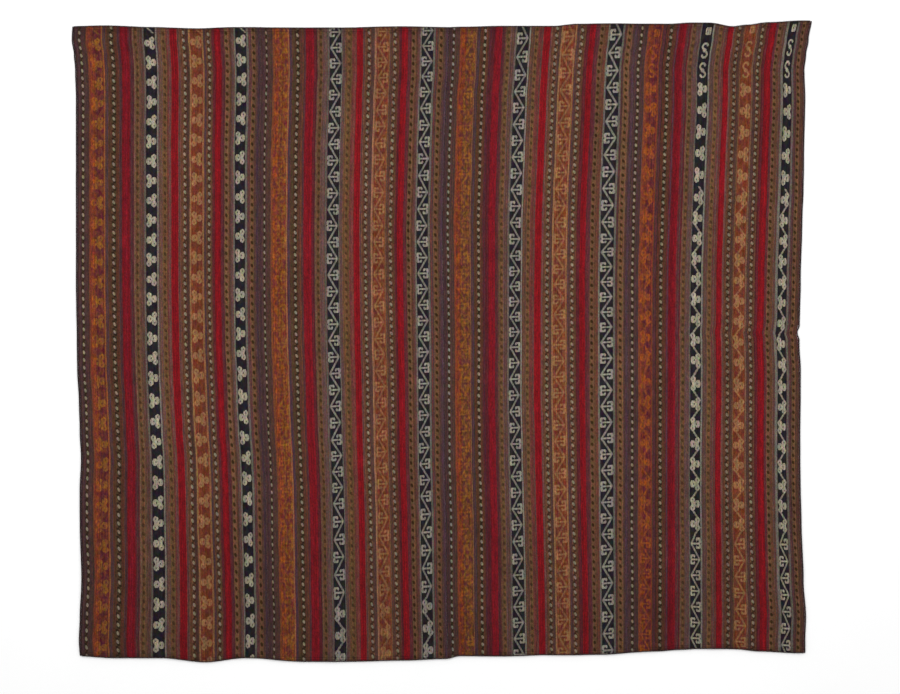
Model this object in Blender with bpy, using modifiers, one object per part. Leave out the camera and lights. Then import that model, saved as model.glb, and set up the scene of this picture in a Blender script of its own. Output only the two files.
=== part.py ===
"""Flatweave rug: four long strips of one warp-faced weaving, laid side by side and sewn together.

The rug lies flat on a floor, face up. Each strip is one solid sheet of cloth, and a thick overcast
cord of dark yarn finishes each of the two outer sides. X runs across the strips, Y runs along their
warp, and Z is up. The origin is under the middle of the rug's bounding box, on the floor.
"""
from math import cos, pi, radians, sin

import bpy

NAME = "flatweave_rug"
MM = 0.001

# Driving sizes, in millimetres.
CLOTH_THICK = 2.5      # a tight warp-faced wool cloth
HEM_THICK = 3.6        # the cloth turned under once at each end
HEM_DEEP = 14          # how far the end is turned under
CORD_THICK = 3.4       # the overcast cord along each side
GAP = 0.3              # between pieces that touch
EDGE_ROUND = 0.7       # radius of the cloth's edges
ACROSS_CELLS = 8       # faces across one strip
ALONG_CELLS = 46       # faces along one strip

# The upright lines of the rug: its two sides and the three seams between the strips. Each has the
# place that it would have in a straight rug, in millimetres right of the middle.
LINE_PLACES = {"left": -877.2, "seam_1": -439.3, "seam_2": 4.8, "seam_3": 451.4, "right": 864.2}

# How far each line strays from its place, to the right, at heights up from the lowest point of the
# rug's bottom edge. The cloth narrows to its waist and flares towards its corners.
LINE_STRAY = (
    # up, left, seam_1, seam_2, seam_3, right
    (0, 8, 23, 11, -1, 13),
    (53, 5, 23, 11, -1, 13),
    (108, 7, 23, 9, -1, 15),
    (198, 11, 20, 8, -1, 9),
    (343, 7, 18, 7, -2, 4),
    (415, 7, 17, 5, -1, 2),
    (488, 10, 14, 3, -1, 1),
    (560, 7, 9, 3, -1, 1),
    (632, 5, 6, 2, -1, 2),
    (705, 1, 4, 2, -1, 2),
    (765, 0, 1, 2, -1, -1),
    (922, -2, -1, 0, -1, 2),
    (1067, -2, -1, -2, 2, 6),
    (1139, -2, -1, 0, 4, 9),
    (1212, -2, -1, 2, 7, 10),
    (1357, -2, 3, 6, 12, 13),
    (1429, -4, 5, 11, 13, 11),
    (1465, -7, 4, 12, 16, 15),
    (1501, -12, 3, 13, 21, 21),
    (1552, -10, 1, 15, 26, 29),
)

# The two ends, as heights up at places across the rug.
END_LINES = (
    # across, top, bottom
    (-890, 1534, 15),
    (-800, 1536, 10),
    (-690, 1532, 10),
    (-590, 1529, 0),
    (-495, 1532, 10),
    (-350, 1531, 1),
    (-253, 1531, 1),
    (-109, 1534, 4),
    (0, 1532, 8),
    (36, 1533, 15),
    (133, 1535, 14),
    (250, 1535, 17),
    (306, 1540, 17),
    (374, 1541, 18),
    (519, 1540, 26),
    (578, 1543, 30),
    (616, 1543, 32),
    (674, 1534, 32),
    (710, 1538, 31),
    (760, 1544, 26),
    (842, 1548, 22),
    (893, 1547, 22),
)

# Low swellings of the cloth, each an oval that lifts off the floor and comes back down to it.
SWELLS = (
    # across, up, half_long, half_wide, turn, high
    (-150, 480, 150, 75, 70, 5),
    (-570, 350, 170, 70, 80, 5),
    (60, 640, 190, 60, 85, 4),
    (-500, 600, 140, 60, 60, 3),
    (600, 1330, 150, 70, 65, 5),
    (420, 900, 160, 60, 85, 3),
    (300, 330, 170, 65, 95, 4),
    (-300, 1200, 150, 60, 95, 3),
    (700, 240, 120, 60, 105, 4),
)

# The place on the right side where the edge is worn in.
WORN_UP = 795
WORN_HALF_LONG = 18
WORN_DEEP = 4.5
WORN_REACH = 200       # how far from it the rows of faces are still shifted to fit it

# Where each side cord meets the two ends, as places across the rug.
CORD_ENDS = {"left": -890, "right": 893}

SWELL_EDGE = 1.5       # how gently a swell meets the floor: 1 is a plain wave, and more is gentler
LONGEST = 1600         # a height above all of the rug
LOOK_STEP = 4          # the step in which its sides are looked along for their furthest points

SIDES = list(LINE_PLACES)
STRIP_NAMES = ["panel_1", "panel_2", "panel_3", "panel_4"]


def read_row(rows, at, column):
    """The value of one column of a table at a place between its rows."""
    rows = list(rows)
    if at <= rows[0][0]:
        return rows[0][column]
    for low, high in zip(rows, rows[1:]):
        if at <= high[0]:
            share = (at - low[0]) / (high[0] - low[0])
            share = share * share * (3 - 2 * share)
            return low[column] + (high[column] - low[column]) * share
    return rows[-1][column]


def line_at(side, up):
    """Where a side or a seam runs at a height, in millimetres right of the middle."""
    across = LINE_PLACES[side] + read_row(LINE_STRAY, up, 1 + SIDES.index(side))
    off_worn = abs(up - WORN_UP) / WORN_HALF_LONG
    if side == "right" and off_worn < 1:
        across -= WORN_DEEP * (1 + cos(pi * off_worn)) / 2
    return across


def end_at(end, across):
    """How high the top or bottom end lies at a place across the rug."""
    return read_row(END_LINES, across, 1 if end == "top" else 2)


def lift_at(across, up):
    """How far the cloth's underside stands off the floor."""
    lift = 0
    for middle, height, half_long, half_wide, turn, high in SWELLS:
        right, along = across - middle, up - height
        angle = radians(turn)
        long_way = (right * cos(angle) + along * sin(angle)) / half_long
        wide_way = (along * cos(angle) - right * sin(angle)) / half_wide
        out = (long_way ** 2 + wide_way ** 2) ** 0.5
        if out < 1:
            lift += high * ((1 + cos(pi * out)) / 2) ** SWELL_EDGE
    return lift


def heights_up(low, high):
    """Heights for the rows of faces: even steps, the hem's own edge, and closer steps where it is worn."""
    steps = [low + (high - low) * step / ALONG_CELLS for step in range(1, ALONG_CELLS)]
    worn = [WORN_UP + WORN_HALF_LONG * step / 2 for step in (-2, -1, 0, 1, 2)]
    clear = [up for up in steps if all(abs(up - other) > WORN_HALF_LONG / 2 for other in worn)]
    return sorted([low, low + HEM_DEEP] + clear + worn + [high - HEM_DEEP, high])


# Every piece has the same rows of faces, so that neighbours bend alike and stay clear of each other.
ROWS = heights_up(min(row[2] for row in END_LINES), max(row[1] for row in END_LINES))


def rug_box():
    """The middle of the rug's outline across and up, which the origin stands under."""
    ups = range(0, LONGEST, LOOK_STEP)
    left = min(line_at("left", up) for up in ups if up < end_at("top", CORD_ENDS["left"]))
    right = max(line_at("right", up) for up in ups if up < end_at("top", CORD_ENDS["right"]))
    return (left + right) / 2, (min(r[2] for r in END_LINES) + max(r[1] for r in END_LINES)) / 2


MIDDLE = rug_box()


def placed(across, up, height):
    """A point of the rug in metres from the origin."""
    return (across - MIDDLE[0]) * MM, (up - MIDDLE[1]) * MM, height * MM


def colour_from(code):
    """A linear colour from six sRGB hex digits."""
    channels = [int(code[place:place + 2], 16) / 255 for place in (0, 2, 4)]
    curve = [c / 12.92 if c <= 0.04045 else ((c + 0.055) / 1.055) ** 2.4 for c in channels]
    return (*curve, 1)


def wool(name, code):
    """Matt spun wool of one colour."""
    material = bpy.data.materials.new(name)
    material.use_nodes = True
    shader = material.node_tree.nodes["Principled BSDF"]
    shader.inputs["Base Color"].default_value = colour_from(code)
    shader.inputs["Roughness"].default_value = 0.9
    shader.inputs["Metallic"].default_value = 0
    return material


def strip_of_cloth(name, left_side, right_side, collection, material):
    """One strip of the weaving: a grid laid along its two side lines, thickened upwards."""
    outer = CORD_THICK / 2 + GAP
    left_gap = outer if left_side == "left" else GAP / 2
    right_gap = outer if right_side == "right" else GAP / 2
    left_place, right_place = LINE_PLACES[left_side], LINE_PLACES[right_side]
    shares = [step / ACROSS_CELLS for step in range(ACROSS_CELLS + 1)]
    columns = [left_place + (right_place - left_place) * share for share in shares]
    low_end = [end_at("bottom", across) for across in columns]
    high_end = [end_at("top", across) for across in columns]

    bpy.ops.mesh.primitive_grid_add(x_subdivisions=ACROSS_CELLS, y_subdivisions=len(ROWS) - 1, size=1)
    strip = bpy.context.object
    strip.name = name
    strip.data.name = name
    points = sorted(strip.data.vertices, key=lambda v: (round(v.co.y, 5), round(v.co.x, 5)))
    hem = []
    for place, vertex in enumerate(points):
        row, column = divmod(place, ACROSS_CELLS + 1)
        up = fitted_up(row, low_end[column], high_end[column])
        left = line_at(left_side, up) + left_gap
        right = line_at(right_side, up) - right_gap
        across = left + (right - left) * shares[column]
        vertex.co = placed(across, up, lift_at(across, up))
        if row in (0, 1, len(ROWS) - 2, len(ROWS) - 1):
            hem.append(vertex.index)

    thickness = strip.vertex_groups.new(name="thickness")
    thickness.add([vertex.index for vertex in strip.data.vertices], CLOTH_THICK / HEM_THICK, "REPLACE")
    thickness.add(hem, 1, "REPLACE")
    solid = strip.modifiers.new("cloth", "SOLIDIFY")
    solid.thickness = HEM_THICK * MM
    solid.offset = 1
    solid.vertex_group = "thickness"
    rounded = strip.modifiers.new("soft edges", "BEVEL")
    rounded.limit_method = "ANGLE"
    rounded.angle_limit = radians(60)
    rounded.width = EDGE_ROUND * MM
    rounded.segments = 2
    finish(strip, collection, material)


def fitted_up(row, low, high):
    """The height of one row in a column whose ends are at low and high. The hem keeps its depth."""
    last = len(ROWS) - 1
    if row <= 1:
        return low + HEM_DEEP * row
    if row >= last - 1:
        return high - HEM_DEEP * (last - row)
    inner = (ROWS[row] - ROWS[1]) / (ROWS[-2] - ROWS[1])
    even = low + HEM_DEEP + inner * (high - low - 2 * HEM_DEEP)
    near_worn = max(0, 1 - abs(ROWS[row] - WORN_UP) / WORN_REACH)
    return even + (ROWS[row] - even) * near_worn


def overcast_cord(name, side, collection, material):
    """The wrapped dark cord along one outer side: a round bar on the side's own line."""
    low, high = end_at("bottom", CORD_ENDS[side]), end_at("top", CORD_ENDS[side])
    curve = bpy.data.curves.new(name, "CURVE")
    curve.dimensions = "3D"
    curve.bevel_depth = CORD_THICK / 2 * MM
    curve.bevel_resolution = 2
    curve.use_fill_caps = True
    spline = curve.splines.new("POLY")
    spline.points.add(len(ROWS) - 1)
    for row, point in enumerate(spline.points):
        up = fitted_up(row, low, high)
        across = line_at(side, up)
        point.co = (*placed(across, up, lift_at(across, up) + CORD_THICK / 2), 1)
    cord = bpy.data.objects.new(name, curve)
    bpy.context.scene.collection.objects.link(cord)
    finish(cord, collection, material)


def finish(piece, collection, material):
    """Give a piece its material and its collection."""
    piece.data.materials.append(material)
    for holder in list(piece.users_collection):
        holder.objects.unlink(piece)
    collection.objects.link(piece)


def main():
    for old in list(bpy.data.objects):
        bpy.data.objects.remove(old, do_unlink=True)
    rug = bpy.data.collections.new(NAME)
    bpy.context.scene.collection.children.link(rug)
    cloth = wool("striped wool", "5A2C2C")
    dark = wool("dark overcast wool", "1E1416")
    for number, name in enumerate(STRIP_NAMES):
        strip_of_cloth(name, SIDES[number], SIDES[number + 1], rug, cloth)
    overcast_cord("selvedge_left", "left", rug, dark)
    overcast_cord("selvedge_right", "right", rug, dark)


main()
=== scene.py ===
"""Looks of the flatweave rug: four sewn strips of striped, warp-faced wool with small woven motifs.

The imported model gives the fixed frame. Each strip of cloth is built again here as its own closed
sheet, with a raised rib for each stripe and a row of faces for each woven motif, and so are the
overcast side cords and the sewing. Lengths are in millimetres until a point is placed.
"""
from math import pi, radians

import bpy
import numpy as np
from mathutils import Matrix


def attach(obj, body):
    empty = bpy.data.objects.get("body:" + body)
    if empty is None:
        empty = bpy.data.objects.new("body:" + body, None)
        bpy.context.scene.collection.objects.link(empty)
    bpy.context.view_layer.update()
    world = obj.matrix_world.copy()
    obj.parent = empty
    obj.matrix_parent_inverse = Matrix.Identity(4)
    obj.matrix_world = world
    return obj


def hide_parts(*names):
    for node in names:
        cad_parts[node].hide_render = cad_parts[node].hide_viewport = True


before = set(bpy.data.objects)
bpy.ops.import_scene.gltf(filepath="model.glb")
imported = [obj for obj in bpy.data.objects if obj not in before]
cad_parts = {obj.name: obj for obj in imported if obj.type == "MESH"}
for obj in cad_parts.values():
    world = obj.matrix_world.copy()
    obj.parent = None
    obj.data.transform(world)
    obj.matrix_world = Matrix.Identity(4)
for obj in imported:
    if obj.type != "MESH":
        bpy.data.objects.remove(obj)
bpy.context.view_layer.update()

MM = 0.001

# The cloth's sizes, as in the CAD.
CLOTH_THICK = 2.5
HEM_THICK = 3.6
HEM_DEEP = 14
CORD_THICK = 3.4
GAP = 0.3
EDGE_SHARE = 0.04      # the share of a strip's width over which its edge makes room for a cord
HEM_DROP = 1.6         # how much lower the hem is at its fold
STRIPE_RIB = 0.3       # how far a plain stripe stands up in its middle, and a motif band
BAND_RIB = 0.55
EDGE_DROP = 0.5

# The upright lines of the rug, and how far each strays to the right at heights up the rug.
LINE_PLACES = {"left": -877.2, "seam_1": -439.3, "seam_2": 4.8, "seam_3": 451.4, "right": 864.2}
LINE_STRAY = (
    # up, left, seam_1, seam_2, seam_3, right
    (0, 8, 23, 11, -1, 13),
    (53, 5, 23, 11, -1, 13),
    (108, 7, 23, 9, -1, 15),
    (198, 11, 20, 8, -1, 9),
    (343, 7, 18, 7, -2, 4),
    (415, 7, 17, 5, -1, 2),
    (488, 10, 14, 3, -1, 1),
    (560, 7, 9, 3, -1, 1),
    (632, 5, 6, 2, -1, 2),
    (705, 1, 4, 2, -1, 2),
    (765, 0, 1, 2, -1, -1),
    (922, -2, -1, 0, -1, 2),
    (1067, -2, -1, -2, 2, 6),
    (1139, -2, -1, 0, 4, 9),
    (1212, -2, -1, 2, 7, 10),
    (1357, -2, 3, 6, 12, 13),
    (1429, -4, 5, 11, 13, 11),
    (1465, -7, 4, 12, 16, 15),
    (1501, -12, 3, 13, 21, 21),
    (1552, -10, 1, 15, 26, 29),
)
END_LINES = (
    # across, top, bottom
    (-890, 1534, 15),
    (-800, 1536, 10),
    (-690, 1532, 10),
    (-590, 1529, 0),
    (-495, 1532, 10),
    (-350, 1531, 1),
    (-253, 1531, 1),
    (-109, 1534, 4),
    (0, 1532, 8),
    (36, 1533, 15),
    (133, 1535, 14),
    (250, 1535, 17),
    (306, 1540, 17),
    (374, 1541, 18),
    (519, 1540, 26),
    (578, 1543, 30),
    (616, 1543, 32),
    (674, 1534, 32),
    (710, 1538, 31),
    (760, 1544, 26),
    (842, 1548, 22),
    (893, 1547, 22),
)
# How far the stripes of each strip bow to the right of where they would lie between its two sides:
# at a quarter of its width, at half and at three quarters.
BOW = (
    # up, panel_1, panel_2, panel_3, panel_4
    (100, -1, 4.5, 5.5, -0.5, 0, 1.5, 1, 4, 5, -5, -6, -4),
    (200, -1, 3.5, 4.5, 0, 0, 1, 1.5, 3, 4, -3, -4, -2.5),
    (300, 0.5, 4, 3, 0.5, 0, 0, 1.5, 1.5, 2.5, -1, -2, -1),
    (400, 1.5, 3.5, 2, 0, 0, -0.5, 0.5, -0.5, 1, -1.5, -2.5, -0.5),
    (500, 0.5, 1, 0.5, 0, 0, -0.5, -0.5, -1.5, 0, -1.5, -1.5, -0.5),
    (650, 0, -0.5, 0, 0.5, 1, 0.5, -2, -4, -1.5, -1, 0, -0.5),
    (800, 0.5, 0, -0.5, 0, 0, -1, -1, -3.5, -1.5, 0, 1, 0),
    (1000, 0, 0, -1, 0, 0, -1, 0, -1, -1, 0.5, 0.5, 0),
    (1150, 0, 0, -0.5, 1, 0.5, 0.5, 0, 0, -1, 2, 1, 0.5),
    (1300, -0.5, -1.5, -2, 0.5, 0.5, 0.5, -0.5, 1, 1, 2, 3, 2.5),
    (1500, 0, -2, -3.5, -0.5, -1, -0.5, 1, 3, 3.5, 3, 6, 5.5),
)
SWELLS = (
    # across, up, half_long, half_wide, turn, high
    (-150, 480, 150, 75, 70, 5),
    (-570, 350, 170, 70, 80, 5),
    (60, 640, 190, 60, 85, 4),
    (-500, 600, 140, 60, 60, 3),
    (600, 1330, 150, 70, 65, 5),
    (420, 900, 160, 60, 85, 3),
    (300, 330, 170, 65, 95, 4),
    (-300, 1200, 150, 60, 95, 3),
    (700, 240, 120, 60, 105, 4),
)
# The worn place in the right side, and where each side cord meets the end lines.
WORN_UP = 795
WORN_HALF_LONG = 18
WORN_DEEP = 4.5
CORD_ENDS = {"left": -890, "right": 893}

SIDES = list(LINE_PLACES)
STRIP_NAMES = ["panel_1", "panel_2", "panel_3", "panel_4"]

# Dyed yarns, as sRGB hex.
YARNS = {
    "dark": "241619",
    "dusk": "3f2a2b",
    "plum": "46302f",
    "purple": "44303a",
    "umber": "462f27",
    "olive": "463323",
    "tan": "5f422a",
    "fallow": "62442f",
    "bister": "412d1b",
    "soot": "34230f",
    "brown": "523526",
    "walnut": "5d3d2b",
    "mauve": "553d39",
    "heather": "5c3a35",
    "clay": "624636",
    "russet": "542e20",
    "madder": "60312c",
    "wine": "521e23",
    "claret": "532529",
    "sienna": "6a3a22",
    "brick": "703020",
    "rust": "652c1d",
    "orange": "86451b",
    "gold": "7f501f",
    "copper": "7a573a",
    "apricot": "845b44",
    "rose": "632c1a",
    "sand": "88603e",
    "grey": "5e584f",
    "stone": "6e6a5f",
    "pale": "786b5a",
    "ivory": "8c8472",
    "bone": "7f796e",
    "navy": "1b181c",
    "crimson": "68141f",
    "red": "6d1118",
    "scarlet": "781017",
}

# The stripes of a strip, from left to right, with the number of warp ends in each of the strips.
STRIPES = (
    # name, weave, ground, figure, ends in panel_1, panel_2, panel_3, panel_4
    ("border", "plain", "purple", "mauve", 2, 1, 1, 1),
    ("edge", "plain", "dusk", "umber", 8, 9, 7, 5),
    ("dots a", "dots", "olive", "pale", 6, 4, 5, 6),
    ("brown a", "plain", "dusk", "umber", 9, 4, 4, 4),
    ("slate a", "plain", "umber", "purple", 2, 6, 5, 5),
    ("orange edge", "plain", "sienna", "brick", 2, 4, 4, 3),
    ("orange left", "band_left", "rust", "orange", 9, 9, 9, 8),
    ("orange right", "band_right", "rust", "gold", 17, 18, 18, 15),
    ("orange rim", "plain", "brick", "copper", 3, 3, 3, 3),
    ("purple b", "plain", "purple", "umber", 6, 5, 5, 6),
    ("plum b", "plain", "olive", "russet", 6, 7, 7, 6),
    ("dots b", "dots", "olive", "pale", 10, 8, 6, 8),
    ("russet b", "plain", "russet", "umber", 6, 8, 5, 6),
    ("slate b", "plain", "wine", "purple", 6, 4, 11, 6),
    ("red a", "plain", "red", "crimson", 15, 16, 14, 14),
    ("plum c", "plain", "wine", "plum", 9, 7, 6, 9),
    ("russet c", "plain", "clay", "walnut", 4, 4, 3, 3),
    ("dots c", "flecks", "tan", "bister", 6, 6, 7, 6),
    ("russet d", "plain", "mauve", "brown", 4, 5, 5, 5),
    ("mauve d", "plain", "mauve", "brown", 7, 5, 4, 5),
    ("grey d", "plain", "grey", "mauve", 3, 4, 3, 2),
    ("navy left", "band", "navy", "ivory", 22, 24, 23, 21),
    ("grey e", "plain", "stone", "mauve", 3, 2, 3, 3),
    ("mauve e", "plain", "mauve", "walnut", 8, 7, 8, 9),
    ("dots d", "flecks", "tan", "bister", 10, 12, 7, 8),
    ("mauve f", "plain", "madder", "mauve", 8, 9, 10, 10),
    ("red b", "plain", "scarlet", "red", 14, 12, 13, 11),
    ("mauve g", "plain", "heather", "plum", 5, 4, 4, 4),
    ("brown g", "plain", "walnut", "russet", 5, 4, 4, 4),
    ("dots e", "dots", "walnut", "pale", 7, 8, 8, 8),
    ("plum g", "plain", "umber", "plum", 6, 7, 5, 5),
    ("apricot g", "plain", "apricot", "sienna", 3, 4, 3, 3),
    ("rose", "band", "rose", "sand", 23, 23, 24, 23),
    ("gold h", "plain", "copper", "sienna", 3, 3, 3, 3),
    ("plum h", "plain", "brown", "purple", 7, 6, 6, 6),
    ("dots f", "dots", "walnut", "pale", 7, 8, 8, 7),
    ("plum i", "plain", "brown", "russet", 3, 4, 4, 4),
    ("wine i", "plain", "wine", "wine", 5, 5, 7, 6),
    ("red c", "plain", "scarlet", "red", 12, 12, 11, 13),
    ("wine j", "plain", "claret", "plum", 7, 7, 9, 5),
    ("dots g", "specks", "fallow", "soot", 8, 8, 8, 7),
    ("brown j", "plain", "brown", "walnut", 4, 4, 4, 5),
    ("mauve j", "plain", "mauve", "russet", 6, 4, 5, 5),
    ("grey j", "plain", "grey", "mauve", 3, 4, 3, 5),
    ("navy right", "band", "navy", "ivory", 20, 23, 26, 18),
    ("grey k", "plain", "grey", "mauve", 4, 4, 4, 4),
    ("wine k", "plain", "plum", "madder", 6, 6, 4, 6),
    ("dots h", "specks", "fallow", "soot", 8, 10, 12, 8),
    ("mauve k", "plain", "umber", "plum", 4, 4, 4, 5),
    ("slate k", "plain", "purple", "dusk", 4, 4, 4, 2),
    ("border k", "plain", "mauve", "purple", 1, 1, 1, 2),
)

# Stripes whose yarns differ from one strip to another.
OTHER_YARNS = {
    # (strip, stripe): (ground, figure)
    (0, "border"): ("dusk", "dark"),
    (0, "slate a"): ("sienna", "umber"),
    (0, "orange right"): ("wine", "gold"),
    (0, "orange rim"): ("orange", "copper"),
    (0, "slate b"): ("dusk", "wine"),
    (0, "russet d"): ("clay", "brown"),
    (0, "apricot g"): ("sand", "sand"),
    (0, "grey j"): ("grey", "grey"),
    (0, "grey k"): ("grey", "grey"),
    (1, "slate b"): ("dusk", "wine"),
    (1, "navy left"): ("navy", "bone"),
    (1, "mauve f"): ("madder", "madder"),
    (1, "mauve j"): ("heather", "russet"),
    (1, "navy right"): ("navy", "bone"),
    (2, "dots a"): ("olive", "stone"),
    (2, "orange right"): ("russet", "gold"),
    (2, "orange rim"): ("russet", "copper"),
    (2, "plum c"): ("claret", "plum"),
    (2, "navy left"): ("navy", "bone"),
    (2, "apricot g"): ("copper", "sienna"),
    (2, "grey j"): ("grey", "stone"),
    (2, "navy right"): ("navy", "bone"),
    (3, "orange right"): ("wine", "orange"),
    (3, "orange rim"): ("brick", "sienna"),
    (3, "purple b"): ("dusk", "wine"),
    (3, "plum b"): ("russet", "dark"),
    (3, "grey e"): ("stone", "stone"),
    (3, "apricot g"): ("brown", "copper"),
    (3, "gold h"): ("clay", "copper"),
    (3, "plum h"): ("umber", "plum"),
    (3, "grey j"): ("grey", "plum"),
    (3, "mauve k"): ("brown", "umber"),
    (3, "slate k"): ("umber", "dark"),
    (3, "border k"): ("heather", "mauve"),
}

# The woven motifs of each strip from the top down. A run is evenly spaced, and its motifs take turns
# to face left and right. Centres are heights up the rug in its left and right navy bands.
MOTIF_RUNS = (
    # motif, faces first, count, first at left, last at left, first at right, last at right
    (
        ("slash", "left", 1, 1536, 1536, 1540, 1540),
        ("trefoil", "right", 18, 1494, 686, 1500, 698),
        ("trefoil", "left", 13, 630, 41, 640, 51),
        ("trefoil", "right", 1, -8, -8, 2, 2),
    ),
    (
        ("hook", "right", 5, 1520, 1369, 1523, 1376),
        ("hook", "left", 8, 1328, 1053, 1336, 1053),
        ("hook", "left", 12, 1013, 578, 1014, 596),
        ("hook", "left", 5, 536, 383, 556, 401),
        ("hook", "right", 5, 339, 168, 357, 183),
        ("joined_trefoil", "left", 4, 117, -40, 135, -24),
    ),
    (
        ("hook", "left", 1, 1550, 1550, 1557, 1557),
        ("hook", "right", 3, 1505, 1416, 1514, 1427),
        ("hook", "left", 10, 1377, 1021, 1386, 1021),
        ("hook", "left", 7, 980, 760, 990, 772),
        ("hook", "right", 12, 722, 292, 733, 309),
        ("hook", "right", 7, 249, 19, 272, 29),
        ("hook", "left", 1, -18, -18, -10, -10),
    ),
    (
        ("block", "left", 1, 1522, 1522, 1530, 1530),
        ("ess", "left", 1, 1476, 1476, 1485, 1485),
        ("ess", "left", 1, 1427, 1427, 1428, 1428),
        ("trefoil", "left", 5, 1383, 1176, 1381, 1168),
        ("joined_trefoil", "right", 9, 1120, 729, 1115, 718),
        ("joined_trefoil", "left", 8, 671, 334, 663, 329),
        ("hook", "left", 7, 286, 58, 284, 41),
        ("hook", "right", 1, 20, 20, 2, 2),
    ),
)

# The weaver's charts: one letter a warp end and one line a pick, from the motif's middle outwards.
# The other half is the same, mirrored top to bottom, or turned half round for the ess.
CHARTS = {
    "trefoil": (
        "....##########..#######.",
        "...####################.",
        "..#########.##########..",
        ".###########..#######...",
        ".####..#####............",
        ".#####.#####............",
        "..#########.............",
        "....####................",
    ),
    "hook": (
        "...####################.",
        "....................####",
        "..............#.....####",
        ".............####..#####",
        ".............###########",
        "..............#########.",
        "........................",
        "........................",
    ),
    "ess": (
        "........########........",
        "......########..........",
        ".....#####..............",
        "....####................",
        "....####.......###......",
        ".....####.....#####.....",
        "......############......",
        "........########........",
    ),
    "block": (
        ".........###..#######...",
        ".........############...",
        ".........############...",
        "..........##########....",
        "........................",
        "........................",
        "........................",
        "........................",
    ),
}
CHART_NAMES = list(CHARTS)
CHART_ENDS = 24
CHART_PICKS = 8
BAND_SPANS = {"band": (0, 24), "band_left": (0, 8), "band_right": (8, 24)}

# For each motif: its chart, half the picks in its cell, and the diagonal line that joins it to the
# next one, as the warp end where the line would start and how many ends it moves with each pick.
MOTIFS = {
    # motif: chart, half picks, line start, line slope
    "trefoil": ("trefoil", 11.5, -99, 0),
    "joined_trefoil": ("trefoil", 11.5, -3.5, 1.35),
    "hook": ("hook", 9.5, 2.5, 1.0),
    "ess": ("ess", 10, -99, 0),
    "block": ("block", 10, -99, 0),
    "slash": (None, 11.5, 2, 1.75),
}
NO_CHART = len(CHART_NAMES)

# The dots lie closer where the weft was beaten harder: how many there are below each height.
DOT_COUNTS = (
    # up, panel_1, panel_2, panel_3, panel_4
    (0, 0, 0, 0, 0),
    (540, 26.5, 30, 30.5, 31.5),
    (1010, 52, 57, 57.5, 58.5),
    (1550, 81.5, 86.5, 89, 91),
)
# Dots of the first kind are pale with a dark gap between them. The others are dark on a lighter
# ground, so their gap keeps the tone of the ground.
DOT_WEAVES = {
    # weave: tone of the gap between two dots, slant, half width in warp ends
    "dots": (0.39, 0.5, 2.7),
    "specks": (1.0, 0.35, 2.8),
    "flecks": (1.0, 0.3, 2.6),
}
WIDEST_DOT = 0.46      # the most that a dot's half width takes of its stripe
DOT_STAGGER = 0.37     # how far the dots of one stripe are set off from those of the stripe before
DOT_HALF_HIGH = 0.26   # half the height of a dot, as a share of its repeat

# How much the two yarns of a band change places in small patches, in each strip.
MOTTLED = {
    # stripe: panel_1, panel_2, panel_3, panel_4
    "orange left": (0.35, 0.5, 0.5, 0.35),
    "orange right": (0.3, 0.5, 0.5, 0.3),
    "rose": (0.12, 0.25, 0.25, 0.12),
}
VIEW_MIDDLE = (21.7, 760.4)     # what the middle of the picture looks at, across and up the rug
CAMERA_HEIGHT = 4.0
LENS_MM = 66.28

# The weave as the shader draws it. Real picks are finer, and these are as coarse as needed to show.
PICK_MM = 2.1
LOT_STEP = 400         # warp ends from the dye lots of one strip to those of the next
LINE_HALF = 2.4        # half the width of the line that joins two motifs, in warp ends
LINE_STRENGTH = 0.72
STRAY_SHARE = 0.35     # the share of a plain stripe's ends that are of its second yarn
STRAY_STRENGTH = 0.8
HEM_LINE_EVERY = 4.6   # millimetres from one dark line of the hem to the next
HEM_LINE_SHARE = 0.45


def colour_from(code):
    """A linear colour from six sRGB hex digits."""
    channels = [int(code[place:place + 2], 16) / 255 for place in (0, 2, 4)]
    curve = [c / 12.92 if c <= 0.04045 else ((c + 0.055) / 1.055) ** 2.4 for c in channels]
    return (*curve, 1)


def read_rows(rows, at, column):
    """One column of a table at places between its rows, eased from row to row."""
    table = np.array(rows, float)
    marks = table[:, 0]
    at = np.clip(at, marks[0], marks[-1])
    low = np.clip(np.searchsorted(marks, at, side="right") - 1, 0, len(marks) - 2)
    share = (at - marks[low]) / (marks[low + 1] - marks[low])
    share = share * share * (3 - 2 * share)
    return table[low, column] + (table[low + 1, column] - table[low, column]) * share


def line_at(side, up):
    """Where a side or a seam runs at a height, in millimetres right of the middle."""
    across = LINE_PLACES[side] + read_rows(LINE_STRAY, up, 1 + SIDES.index(side))
    if side == "right":
        off_worn = np.clip(abs(up - WORN_UP) / WORN_HALF_LONG, 0, 1)
        across = across - WORN_DEEP * (1 + np.cos(pi * off_worn)) / 2
    return across


def end_at(end, across):
    """How high the top or bottom end lies at a place across the rug."""
    return read_rows(END_LINES, across, 1 if end == "top" else 2)


def lift_at(across, up):
    """How far the cloth's underside stands off the floor."""
    lift = np.zeros(np.broadcast(across, up).shape)
    for middle, height, half_long, half_wide, turn, high in SWELLS:
        right, along = across - middle, up - height
        cos_turn, sin_turn = np.cos(radians(turn)), np.sin(radians(turn))
        long_way = (right * cos_turn + along * sin_turn) / half_long
        wide_way = (along * cos_turn - right * sin_turn) / half_wide
        out = np.clip(np.hypot(long_way, wide_way), 0, 1)
        lift += high * ((1 + np.cos(pi * out)) / 2) ** 1.5
    return lift


def rug_middle():
    """The middle of the rug's outline across and up, which the origin stands under."""
    ups = np.arange(0, 1600, 4.0)
    left = line_at("left", ups[ups < end_at("top", CORD_ENDS["left"])]).min()
    right = line_at("right", ups[ups < end_at("top", CORD_ENDS["right"])]).max()
    return (left + right) / 2, (min(r[2] for r in END_LINES) + max(r[1] for r in END_LINES)) / 2


MIDDLE = rug_middle()


def placed(across, up, height):
    """Points of the rug in metres from the origin, one a row."""
    across, up, height = np.broadcast_arrays(across, up, height)
    return np.stack([across - MIDDLE[0], up - MIDDLE[1], height], axis=-1) * MM


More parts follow.
